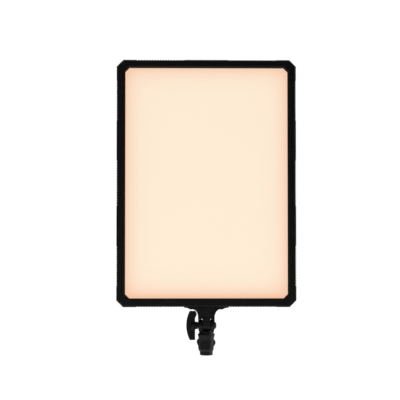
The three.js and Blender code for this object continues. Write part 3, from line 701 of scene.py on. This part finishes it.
def make_heat_sink():
    """Plate with tapered fins in the window."""
    base = SINK_LO.y + 2
    count, pitch = 24, 9
    root, tip = 1.15, 0.75  # half a fin's thickness
    reach = WINDOW_H / 2 - 4
    ends = [(reach, 0.5), (reach - 0.5, 0), (0.5 - reach, 0), (-reach, 0.5)]
    solid = Solid()
    solid.plate(panelled(*span(SINK_LO, SINK_HI), 10, 1), SINK_LO.y, base, 0.2, 0.2)
    for i in range(count):
        x = (i - (count - 1) / 2) * pitch
        section = softened([(x - root, base - 0.2), (x + root, base - 0.2),
                            (x + tip, SINK_HI.y), (x - tip, SINK_HI.y)], 0.35, 3)
        solid.loft([at_z(inset(section, d), WINDOW_Z + z) for z, d in ends])
    dress(solid.object("heat_sink_extrusion"), ANODISED, "head", "aluminium", "heat_sink")


# -------- control housing and its controls


def perforated(solid, outline, holes, lo, hi, edge=0.3):
    """Plate with holes, with soft edges on its upper side."""
    tops, bottoms = [], []
    for points, side in [(outline, 1), *((hole, -1) for hole in holes)]:
        levels = [(side * i, hi - d) for i, d in reversed(round_edge(edge, 2))]
        rings = [solid.ring(at_y(inset(points, i), y)) for i, y in [*levels, (0, lo)]]
        for a, b in zip(rings, rings[1:]):
            solid.bridge(a, b)
        tops.append(rings[0])
        bottoms.append(rings[-1])
    solid.fill(*tops)
    solid.fill(*bottoms)


def make_housing():
    w, h = span(HOUSING_LO, HOUSING_HI)
    corner = 8
    centre_z = middle("control_housing").z
    top, foot = HOUSING_HI.y, HOUSING_LO.y
    seat = (w - (FASCIA_HI.x - FASCIA_LO.x) - 0.6) / 2
    seat_y = FASCIA_LO.y - 0.3
    ledge, ledge_y = seat + 3.3, seat_y - 1.7
    wall = 3
    outside = profile_corners(
        [(0, foot, 0), (0, top - 2.5, 1), (2.5, top, 1), (seat - 0.4, top, 0)], steps=4)
    inside = [(seat, top - 0.4), (seat, seat_y), (ledge, seat_y), (ledge, ledge_y),
              (wall, ledge_y), (wall, foot)]
    solid = Solid()
    solid.loft([at_y(rounded(w - 2 * d, h - 2 * d, max(corner - d, 1.2), 8, 0, centre_z), y)
                for d, y in outside + inside], closed=True)
    dress(solid.object("housing_moulding"), SHELL, "head", "shell_plastic", "control_housing")


def make_fascia():
    window_w, window_h = span(DISPLAY_LO, DISPLAY_HI)
    cutouts = [("display_window", window_w + 0.6, window_h + 0.6, 2.3, 5),
               ("mode_button", 18.6, 8.6, 4.2, 8), ("switch_frame", 14.6, 21.6, 0.6, 3)]
    bores = (("brightness_knob", 4.8), ("colour_knob", 4.8), ("power_inlet", 7.3))
    holes = [rounded(w, h, radius, steps, *centre_of(node)) for node, w, h, radius, steps in cutouts]
    holes += [circle(radius, 48, centre_of(node)) for node, radius in bores]
    outline = rounded(*span(FASCIA_LO, FASCIA_HI), 5, 8, 0, middle("control_fascia").z)
    solid = Solid()
    perforated(solid, outline, holes, FASCIA_LO.y, FASCIA_HI.y)
    dress(solid.object("fascia_plate"), FASCIA, "head", "bezel_plastic", "control_fascia")


def make_dial_marks(name, knob):
    """Printed marks round a knob."""
    centre = Vector(centre_of(knob))
    face = FASCIA_HI.y
    solid = Solid()
    for i in range(11):
        turn = math.radians(-140 + 28 * i)
        inner, outer, half = (14, 16.6, 0.32) if i % 5 == 0 else (14.4, 15.8, 0.22)
        out = Vector((math.sin(turn), math.cos(turn)))
        across = Vector((out.y, -out.x))
        corners = [centre + out * outer - across * half, centre + out * inner - across * half,
                   centre + out * inner + across * half, centre + out * outer + across * half]
        solid.loft([at_y([tuple(c) for c in corners], y) for y in (face - 0.05, face + 0.04)])
    dress(solid.object(name), INK, "head", "white_plastic")


def make_knob(name, node):
    """Knob with a smooth skirt, a fluted grip and a pointer line on its face."""
    lo, hi = box(node)
    centre = centre_of(node)
    radius = (hi.x - lo.x) / 2
    ribs, per_rib = 32, 6
    turns = [2 * math.pi * k / (ribs * per_rib) for k in range(ribs * per_rib)]

    def fluted(reach, dip):
        bite = [reach - dip * max(0.0, math.cos(t * ribs)) ** 2 for t in turns]
        return [(centre[0] + r * math.cos(t), centre[1] + r * math.sin(t)) for r, t in zip(bite, turns)]

    levels = [
        (radius - 3.5, 0, 0), (radius - 0.4, 0, 0), (radius, 0, 0.4), (radius, 0, 1.6),
        (radius - 0.3, 0, 1.95), (radius - 0.8, 0.0, 2.1), (radius - 0.85, 0.42, 2.9),
        (radius - 1.15, 0.42, 11), (radius - 1.4, 0.25, 12.1), (radius - 1.9, 0, 12.7),
        (radius - 2.6, 0, 13), (radius - 3.2, 0, 12.95), (radius - 3.5, 0, 12.6), (radius - 7, 0, 12.45),
    ]
    solid = Solid()
    solid.loft([at_y(fluted(reach, dip), lo.y + y) for reach, dip, y in levels])
    dress(solid.object(name), KNOB, node, "knob_plastic", node)
    line = Solid()
    mark = rounded(0.9, 4.6, 0.4, 4, centre[0], centre[1] + radius - 5.7)
    line.plate(mark, lo.y + 12, hi.y - 0.15, 0.1, 0.1)
    dress(line.object(name + "_pointer"), INK, node, "white_plastic")


def make_button():
    lo, hi = box("mode_button")
    centre = centre_of("mode_button")
    outline = rounded(18, 8, 3.9, 10, *centre)
    flange = rounded(21, 11, 4, 10, *centre)
    solid = Solid()
    solid.plate(flange, lo.y, lo.y + 1, 0.1, 0.2)
    top = [(0, lo.y + 0.5), (0, hi.y - 0.6), (0.2, hi.y - 0.2), (0.65, hi.y), (1.1, hi.y),
           (1.9, hi.y - 0.22), (3, hi.y - 0.3)]
    solid.loft([at_y(inset(outline, d), y) for d, y in top])
    dress(solid.object("mode_button_cap"), KNOB, "mode_button", "knob_plastic", "mode_button")


def make_switch():
    lo, hi = box("switch_frame")
    centre = centre_of("switch_frame")
    outline = rounded(*span(lo, hi), 2, 5, *centre)
    well = rounded(10.8, 18, 0.5, 5, *centre)
    can = rounded(14, 21, 0.5, 5, *centre)
    face, flange = hi.y, FASCIA_HI.y + 0.2
    loops = [(outline, 0, flange), (outline, 0, face - 0.5), (outline, 0.15, face - 0.15),
             (outline, 0.5, face), (well, -0.5, face), (well, 0, face - 0.5), (well, 0, face - 8.4)]
    solid = Solid()
    rings = [solid.ring(at_y(inset(points, d), y)) for points, d, y in loops]
    rings += [solid.ring(at_y(can, y)) for y in (lo.y, flange)]
    solid.cap(rings[6])
    solid.cap(rings[7])
    for a, b in [*zip(rings[:7], rings[1:7]), (rings[7], rings[8]), (rings[8], rings[0])]:
        solid.bridge(a, b)
    dress(solid.object("switch_surround"), BEZEL, "head", "bezel_plastic", "switch_frame")


def make_rocker():
    """Two-sided rocker; a short bar marks on and a ring marks off."""
    pivot = joint_place("power_rocker_tip")
    tilt = math.radians(9)
    half, reach = 5, 8  # half its width, half its length
    waist, end = 1.55, 3.2  # height of its face above the pivot, in the middle and at the ends
    side = softened([(-3.4, -4), (end, -reach), (waist, 0), (end, reach), (-3.4, 4)], 0.6, 4)

    def tipped(points):
        c, s = math.cos(tilt), math.sin(tilt)
        return [(pivot.y + y * c - z * s, pivot.z + y * s + z * c) for y, z in points]

    solid = Solid()
    levels = [(0.5, -half), (0.15, -half + 0.15), (0, -half + 0.5), (0, half - 0.5),
              (0.15, half - 0.15), (0.5, half)]
    solid.loft([at_x(tipped(inset(side, d)), pivot.x + x) for d, x in levels])
    dress(solid.object("rocker_cap"), KNOB, "power_rocker", "knob_plastic", "power_rocker")

    def on_face(points, lift, way):
        """Points (across, along) laid on the upper or lower half of the face."""
        placed = []
        for across, along in points:
            height = waist + along * (end - waist) / reach + lift
            [(y, z)] = tipped([(height, way * along)])
            placed.append((pivot.x + across, y, z))
        return placed

    sunk, proud = -0.1, 0.05
    bar = [(-0.35, 3.4), (0.35, 3.4), (0.35, 5.8), (-0.35, 5.8)]
    outer, inner = (circle(radius, 24, (0, 4.6)) for radius in (1.2, 0.65))
    ring = [(outer, sunk), (outer, proud), (inner, proud), (inner, sunk)]
    marks = Solid()
    marks.loft([on_face(bar, lift, 1) for lift in (sunk, proud)])
    marks.loft([on_face(points, lift, -1) for points, lift in ring], closed=True)
    dress(marks.object("rocker_marks"), INK, "power_rocker", "white_plastic")


def make_inlet():
    lo, hi = box("power_inlet")
    centre = centre_of("power_inlet")
    face = FASCIA_HI.y
    flange, barrel, bore = 9, 7, 5.6
    profile = profile_corners([
        (0, lo.y, 0), (barrel, lo.y, 0), (barrel, face + 0.2, 0), (flange, face + 0.2, 0),
        (flange, face + 1.8, 0.5), (barrel, face + 1.8, 0.2), (barrel, hi.y, 0.4), (bore, hi.y, 0.3),
        (bore, hi.y - 8, 0), (0, hi.y - 8, 0)])
    solid = Solid()
    solid.turned(profile, centre=centre)
    dress(solid.object("inlet_shell"), BEZEL, "head", "bezel_plastic", "power_inlet")
    pins = Solid()
    for dx in (-2, 2):
        foot, tip = hi.y - 8.3, hi.y - 5
        pin = profile_corners([(0, foot, 0), (0.8, foot, 0), (0.8, tip, 0.5), (0, tip, 0)])
        pins.turned(pin, centre=(centre[0] + dx, centre[1]), sides=24)
    dress(pins.object("inlet_pins"), BRASS, "head", "brass")


def make_display():
    spot = middle("display_window")
    outline = rounded(*span(DISPLAY_LO, DISPLAY_HI), 2, 6, spot.x, spot.z)
    solid = Solid()
    solid.plate(outline, DISPLAY_LO.y, DISPLAY_HI.y, 0.1, 0.25)
    dress(solid.object("display_cover"), SMOKED, "head", "display", "display_window")

    bars = Solid()
    face = DISPLAY_HI.y
    count, pitch, half = 6, 6.6, 2.1
    foot = spot.z - 5.2
    for i in range(count):
        x = spot.x + (i - (count - 1) / 2) * pitch
        head = foot + 3 + 1.5 * i
        column = [(x - half, foot), (x + half, foot), (x + half, head), (x - half, head)]
        bars.loft([at_y(column, y) for y in (face - 0.1, face + 0.03)])
    dress(bars.object("display_bars"), READOUT, "head", "display")


# -------- screws


def hexagon(radius, sides, centre):
    """Hexagon drawn with as many points as a circle, so that the two can be joined."""
    made = []
    for i in range(sides):
        t = 2 * math.pi * i / sides
        reach = radius * math.cos(math.pi / 6) / math.cos(t % (math.pi / 3) - math.pi / 6)
        made.append((centre[0] + reach * math.cos(t), centre[1] + reach * math.sin(t)))
    return made


def make_screw(node, face, head, hollow, socket, place, centre, direction, shank, length):
    """Socket screw: domed head at face, pointing along direction, with its shank behind it."""
    sides = 48
    levels = [(circle(r, sides, centre), face + direction * h) for r, h in head]
    levels += [(hexagon(socket, sides, centre), face - direction * h) for h in hollow]
    back = [(circle(shank, sides, centre), at) for at in (face - direction * length, levels[0][1])]
    solid = Solid()
    solid.loft([place(points, at) for points, at in back + levels])
    dress(solid.object(node.replace("screw", "socket_screw")), STEEL, "head", "steel", node)


def make_screws():
    small_head = [(3, -1.4), (3, -0.7), (2.8, -0.3), (2.3, -0.08), (1.7, 0)]
    for i in range(8):
        node = f"shell_screw_{i + 1}"
        lo, hi = box(node)
        make_screw(node, hi.y, small_head, (0.1, 0.95), 1.15, at_y, centre_of(node), 1, 1.4, hi.y - lo.y)
    large_head = [(3.7, -2), (3.7, -0.5), (3.5, -0.15), (3.1, 0), (2.2, 0)]
    for i in range(4):
        node = f"bracket_screw_{i + 1}"
        spot = middle(node)
        lo, hi = box(node)
        make_screw(node, lo.z, large_head, (0.15, 1.3), 1.6, at_z, (spot.x, spot.y), -1, 1.9, hi.z - lo.z)


# -------- stand receiver

NECK_HALF = 16
EAR_STEP = 12.4
EAR_INNER = 9.1
STEM_HALF = 9.2
COLLAR_TOP = 42.3
WAIST_TOP = PIVOT_Z - 11.4
WAIST_R = 14.2


def ear_outline(radius, steps=48):
    """Disc round the pivot with a stem going down, seen along X, as (y, z)."""
    lift = math.asin(STEM_HALF / radius)
    start, end = -math.pi / 2 + lift, 1.5 * math.pi - lift
    arc = [start + (end - start) * k / steps for k in range(steps + 1)]
    points = [(radius * math.cos(t), PIVOT_Z + radius * math.sin(t)) for t in arc]
    bottom = WAIST_TOP - 1.2
    return [(STEM_HALF, bottom), (STEM_HALF, WAIST_TOP + 1.4), *points,
            (-STEM_HALF, WAIST_TOP + 1.4), (-STEM_HALF, bottom)]


def make_ear(solid, side):
    """Ear on one side of the tongue: tall near the tongue, small outside."""
    small, tall = 10.3, 13
    levels = [(tall, 0.15, EAR_INNER), (tall, 0, EAR_INNER + 0.15), (tall, 0, EAR_STEP - 0.3),
              (tall, 0.3, EAR_STEP), (small, -0.4, EAR_STEP + 0.05), (small, 0, EAR_STEP + 0.4),
              (small, 0, NECK_HALF - 0.9), (small, 0.3, NECK_HALF - 0.3), (small, 0.9, NECK_HALF)]
    loops = []
    for radius, d, x in levels:
        loop = []
        for y, z in inset(ear_outline(radius), d):
            narrowing = max(0.0, min(1.0, (WAIST_TOP + 3.4 - z) / 3.4)) * (NECK_HALF - WAIST_R)
            loop.append((side * min(x, NECK_HALF - narrowing), y, z))
        loops.append(loop)
    solid.loft(loops)


def make_sleeve(solid):
    """Turned sleeve with its socket, collar and waist; flutes are bitten out of the collar."""
    sides, flutes = 144, 14
    socket, depth = 8.1, 40
    profile = profile_corners([
        (0, depth, 0), (socket, depth, 0), (socket, 0.8, 0), (8.9, 0, 0), (11.5, 0, 0.6), (12.6, 1.1, 0.6),
        (12.6, 7.4, 0.8), (14.3, 11.6, 1.2), (14.5, 30.6, 1.5), (16.45, 39.2, 1), (16.45, 41.2, 0.4),
        (15.8, COLLAR_TOP, 0.4), (WAIST_R + 0.2, COLLAR_TOP + 0.1, 0.3), (WAIST_R, WAIST_TOP, 0.6),
        (0, WAIST_TOP, 0)])
    loops = []
    for r, z in profile:
        bite = 1.3 * max(0.0, min(1.0, (z - 39.6) / 0.7)) * (1 if 14.6 < r else 0)
        loop = []
        for k in range(sides):
            t = 2 * math.pi * k / sides - math.pi / 2
            wave = max(0.0, math.cos(t * flutes - math.pi / 2 * flutes)) ** 3
            reach = max(r - bite * wave, 1e-3)
            loop.append((reach * math.cos(t), reach * math.sin(t), z))
        loops.append(loop)
    solid.loft(loops)


def make_receiver():
    solid = Solid()
    make_sleeve(solid)
    for side in (-1, 1):
        make_ear(solid, side)
    boss = profile_corners([
        (0, 12, 0), (8, 12, 0), (8, 17.5, 0.8), (6.3, 17.5, 0), (6.3, 16.6, 0), (0, 16.6, 0)])
    solid.turned(boss, centre=(0, LOCK_Z))
    receiver = solid.object("receiver_casting")
    cast(receiver, 0.32, 3)
    pad_lo, pad_hi = box("lock_pad")
    bore_r = (pad_hi.x - pad_lo.x) / 2 + 0.4
    bore = Solid()
    bore.turned([(0, 4), (bore_r, 4), (bore_r, 16), (0, 16)], centre=(0, LOCK_Z), sides=32)
    cut_out(receiver, bore.object("cutter"))
    dress(receiver, PAINT, "receiver", "bracket_metal", "receiver_body", angle=70)


def make_pivot_cap():
    tip = box("pivot_cap")[1].x
    face = NECK_HALF + 0.1
    profile = profile_corners([(0, 14, 0), (2.2, 14, 0), (2.2, face, 0), (7, face, 0.2), (6.95, 16.8, 0.4),
                               (5.6, 18.6, 1.2), (3, tip, 1.2), (0, tip, 0)])
    solid = Solid()
    solid.turned(profile, place=at_x, centre=(0, PIVOT_Z))
    dress(solid.object("pivot_cap_dome"), GRIP, "receiver", "grip_plastic", "pivot_cap")


# -------- lock knob


def make_lock_knob():
    lo, hi = box("lock_knob")
    front = hi.y - 12
    lobes, turn, steps = 5, math.radians(14), 180

    def star(reach, swing):
        made = []
        for i in range(steps):
            t = 2 * math.pi * i / steps
            wave = math.cos(lobes * (t - turn))
            r = reach + swing * (wave + 0.18 * (1 - wave * wave))
            made.append((r * math.cos(t), LOCK_Z + r * math.sin(t)))
        return made

    levels = [(9, 0.2, 0.4), (14.5, 1.1, 0), (16.4, 1.35, 0.25), (17.2, 1.45, 1), (17.55, 1.5, 2.4),
              (17.55, 1.5, 9.2), (17.2, 1.45, 10.8), (16.4, 1.35, 11.7), (15.4, 1.2, 12), (10.8, 0.4, 12),
              (9.9, 0, 11.8), (9.4, 0, 11.2), (9.2, 0, 10.6), (3, 0, 10.4)]
    solid = Solid()
    solid.loft([at_y(star(reach, swing), front + y) for reach, swing, y in levels])
    hub = profile_corners([(0, lo.y, 0), (8, lo.y, 0.4), (8, front + 1, 0), (0, front + 1, 0)])
    solid.turned(hub, centre=(0, LOCK_Z))
    dress(solid.object("lock_knob_star"), GRIP, "lock_knob", "grip_plastic", "lock_knob")
    cap = Solid()
    disc = profile_corners([
        (0, front + 10, 0), (8.6, front + 10, 0), (8.6, front + 11.2, 0.4), (0, front + 11.3, 0)])
    cap.turned(disc, centre=(0, LOCK_Z))
    dress(cap.object("lock_knob_cap"), KNOB, "lock_knob", "knob_plastic")


# -------- tilt handle


def wing_outline():
    """T-handle's grip seen from the front: an arc outside, a straight edge inside."""
    reach = 28.1
    radius, outer, inner = 62, -39.1, -21.9
    half = math.asin(reach / radius)
    arc = [math.pi - half + 2 * half * k / 24 for k in range(25)]
    outside = [(outer + radius + radius * math.cos(t), PIVOT_Z + radius * math.sin(t)) for t in arc]
    inside = [(inner, PIVOT_Z - reach), (inner, PIVOT_Z + 14.6), (-18.9, PIVOT_Z + 20.8),
              (-18.9, PIVOT_Z + 23.6), (-21.3, PIVOT_Z + reach)]
    return inside + outside


def make_tilt_handle():
    solid = Solid()
    solid.plate(wing_outline(), -6, 6, 1.3, 1.3, steps=5)
    hub = profile_corners([(0, -30, 0), (9.4, -30, 0), (8.8, -23.6, 1.6), (7.1, -20.6, 1.6),
                           (7.1, -16.3, 0.5), (0, -16.3, 0)])
    solid.turned(hub, place=at_x, centre=(0, PIVOT_Z))
    handle = solid.object("tilt_handle_grip")
    cast(handle, 0.32, 3)
    dress(handle, GRIP, "tilt_handle", "grip_plastic", "tilt_handle", angle=70)


# -------- mounting bracket

SHOULDER = 13.4
NECK_DEPTH = 11


def curve(a, b, c, d, steps=8):
    """Points of a cubic curve after its first."""
    made = []
    for k in range(1, steps + 1):
        t = k / steps
        u = 1 - t
        made.append(tuple(
            u**3 * p + 3 * u * u * t * q + 3 * u * t * t * r + t**3 * s for p, q, r, s in zip(a, b, c, d)))
    return made


def foot_outline():
    """Bracket's neck and foot seen from the front."""
    top = BRACKET_TOP
    start = (NECK_HALF, top - 18.5)
    fillet = (26.4, top - 3.9)
    lobe = (34, top - 3)
    tip = (44, top - 0.7)
    right = [(NECK_HALF, PIVOT_Z + SHOULDER), start]
    right += curve(start, (NECK_HALF + 0.6, top - 11.5), (19.5, top - 5.6), fillet)
    right += curve(fillet, (28, top - 4.6), (31.6, top - 4.7), lobe)
    right += curve(lobe, (37, top - 1.3), (40, top - 0.9), tip)
    right.append((44, top))
    return right + [(-x, z) for x, z in reversed(right)]


def make_bracket():
    top = BRACKET_TOP
    solid = Solid()
    solid.plate(foot_outline(), -10.5, NECK_DEPTH)
    flange = [(x, z) for x, z in foot_outline() if z > top - 4.95]
    solid.plate(flange, 8, 18, 0.2, 0.3)
    tongue = [(NECK_DEPTH * math.cos(t), PIVOT_Z + NECK_DEPTH * math.sin(t))
              for t in (-math.pi + math.pi * k / 32 for k in range(33))]
    tongue = [*tongue, (NECK_DEPTH, PIVOT_Z + SHOULDER + 2), (-NECK_DEPTH, PIVOT_Z + SHOULDER + 2)]
    solid.plate(tongue, -7.9, 7.9, 0.5, 0.5, place=at_x)
    for side in (-1, 1):
        clear = 10.8
        lift = math.asin(9.5 / clear)
        arc = [lift + (math.pi - 2 * lift) * k / 16 for k in range(17)]
        under = [(clear * math.cos(t), PIVOT_Z + clear * math.sin(t)) for t in arc]
        above = [(-NECK_DEPTH, PIVOT_Z + 9.5), (-NECK_DEPTH, PIVOT_Z + SHOULDER + 1.5),
                 (NECK_DEPTH, PIVOT_Z + SHOULDER + 1.5), (NECK_DEPTH, PIVOT_Z + 9.5)]
        lo, hi = sorted((side * (EAR_STEP + 0.4), side * NECK_HALF))
        solid.plate([*above, *under], lo, hi, place=at_x)
    bracket = solid.object("bracket_casting")
    cast(bracket, 0.32, 3)
    for i in range(4):
        spot = middle(f"bracket_screw_{i + 1}")
        cutter = Solid()
        cutter.turned([(0, top - 8), (4, top - 8), (4, top - 2), (0, top - 2)], place=at_z,
                      centre=(spot.x, spot.y), sides=48)
        cut_out(bracket, cutter.object("cutter"))
    dress(bracket, PAINT, "head", "bracket_metal", "mount_bracket", angle=60)


# -------- CAD pieces that stay

KEPT = {
    STEEL: ("pivot_bolt", "lock_screw", "brightness_encoder", "colour_encoder"),
    BRASS: ("lock_insert", "handle_insert"),
    NYLON: ("friction_washer_left", "friction_washer_right", "lock_pad"),
    WHITE: ("reflector_frame", *(f"led_strip_{i + 1}" for i in range(6))),
    CIRCUIT: ("driver_board", "control_board", "display_module", "mode_switch"),
    JACKET: ("led_harness",),
}


def finish_kept():
    """Bare CAD pieces get their material and softened edges."""
    for material, names in KEPT.items():
        for name in names:
            node = NODES[name]
            node.data.materials.clear()
            node.data.materials.append(material)
            weld = node.modifiers.new("weld", "WELD")
            weld.merge_threshold = 0.002 * MM
            edge = node.modifiers.new("edge", "BEVEL")
            edge.width = 0.12 * MM
            edge.segments = 2
            edge.limit_method = "ANGLE"
            edge.angle_limit = math.radians(40)
            edge.harden_normals = True


# -------- the stage


def make_stage():
    top, thickness, radius = -384, 8, 2250
    foot = top - thickness
    solid = Solid()
    disc = profile_corners([(0, foot, 0), (radius, foot, 0), (radius, top, 2), (0, top, 0)])
    solid.turned(disc, place=at_z, sides=96)
    floor = solid.object("studio_floor")
    pale = Shader("floor_paint", (0.9, 0.9, 0.89), 0.7)
    pale.bump(pale.noise(1.5), 0.02)
    floor.data.materials.append(pale.material)
    shade(floor)


def make_light(name, place, target, size, power):
    data = bpy.data.lights.new(name, "AREA")
    data.shape = "RECTANGLE"
    data.size, data.size_y = size
    data.energy = power
    made = bpy.data.objects.new(name, data)
    made.location = place
    made.rotation_euler = (Vector(target) - Vector(place)).to_track_quat("-Z", "Y").to_euler()
    made.visible_camera = False
    bpy.context.scene.collection.objects.link(made)


def make_lighting():
    aim = (0, 0, PANEL_Z * MM)
    make_light("back_left", (-1.0, 1.7, 2.0), aim, (0.9, 0.9), 44)
    make_light("back_right", (2.0, 0.5, 0.9), aim, (0.6, 1.3), 24)
    make_light("overhead", (0.1, 0.3, 2.2), aim, (1.4, 1.0), 16)
    make_light("front_fill", (-1.0, -1.9, 1.0), aim, (1.2, 1.2), 1.2)
    world = bpy.data.worlds.new("studio")
    bpy.context.scene.world = world
    world.use_nodes = True
    nodes, links = world.node_tree.nodes, world.node_tree.links
    nodes.clear()
    seen = nodes.new("ShaderNodeBackground")
    seen.inputs["Color"].default_value = (1, 1, 1, 1)
    seen.inputs["Strength"].default_value = 1.05
    glow = nodes.new("ShaderNodeBackground")
    glow.inputs["Color"].default_value = (0.95, 0.97, 1, 1)
    glow.inputs["Strength"].default_value = 0.035
    path = nodes.new("ShaderNodeLightPath")
    mix = nodes.new("ShaderNodeMixShader")
    out = nodes.new("ShaderNodeOutputWorld")
    links.new(path.outputs["Is Camera Ray"], mix.inputs["Fac"])
    links.new(glow.outputs["Background"], mix.inputs[1])
    links.new(seen.outputs["Background"], mix.inputs[2])
    links.new(mix.outputs["Shader"], out.inputs["Surface"])
    bpy.context.scene.view_settings.view_transform = "Standard"


def make_camera():
    """Level view from in front, a little left of the panel's middle and below it."""
    front = BEZEL_LO.y * MM
    place = Vector((-0.06, front - 2.5, 0.215))
    target = Vector((-0.0127, front, 0.3016))
    data = bpy.data.cameras.new("camera")
    data.sensor_width = 36
    data.lens = 116.1
    made = bpy.data.objects.new("camera", data)
    made.location = place
    made.rotation_euler = (target - place).to_track_quat("-Z", "Y").to_euler()
    bpy.context.scene.collection.objects.link(made)
    bpy.context.scene.camera = made


make_camera()
make_bezel()
make_diffuser()
make_shell()
make_heat_sink()
make_housing()
make_fascia()
make_dial_marks("brightness_marks", "brightness_knob")
make_dial_marks("colour_marks", "colour_knob")
make_knob("brightness_dial", "brightness_knob")
make_knob("colour_dial", "colour_knob")
make_button()
make_switch()
make_rocker()
make_inlet()
make_display()
make_screws()
make_receiver()
make_pivot_cap()
make_lock_knob()
make_tilt_handle()
make_bracket()
finish_kept()
make_stage()
make_lighting()
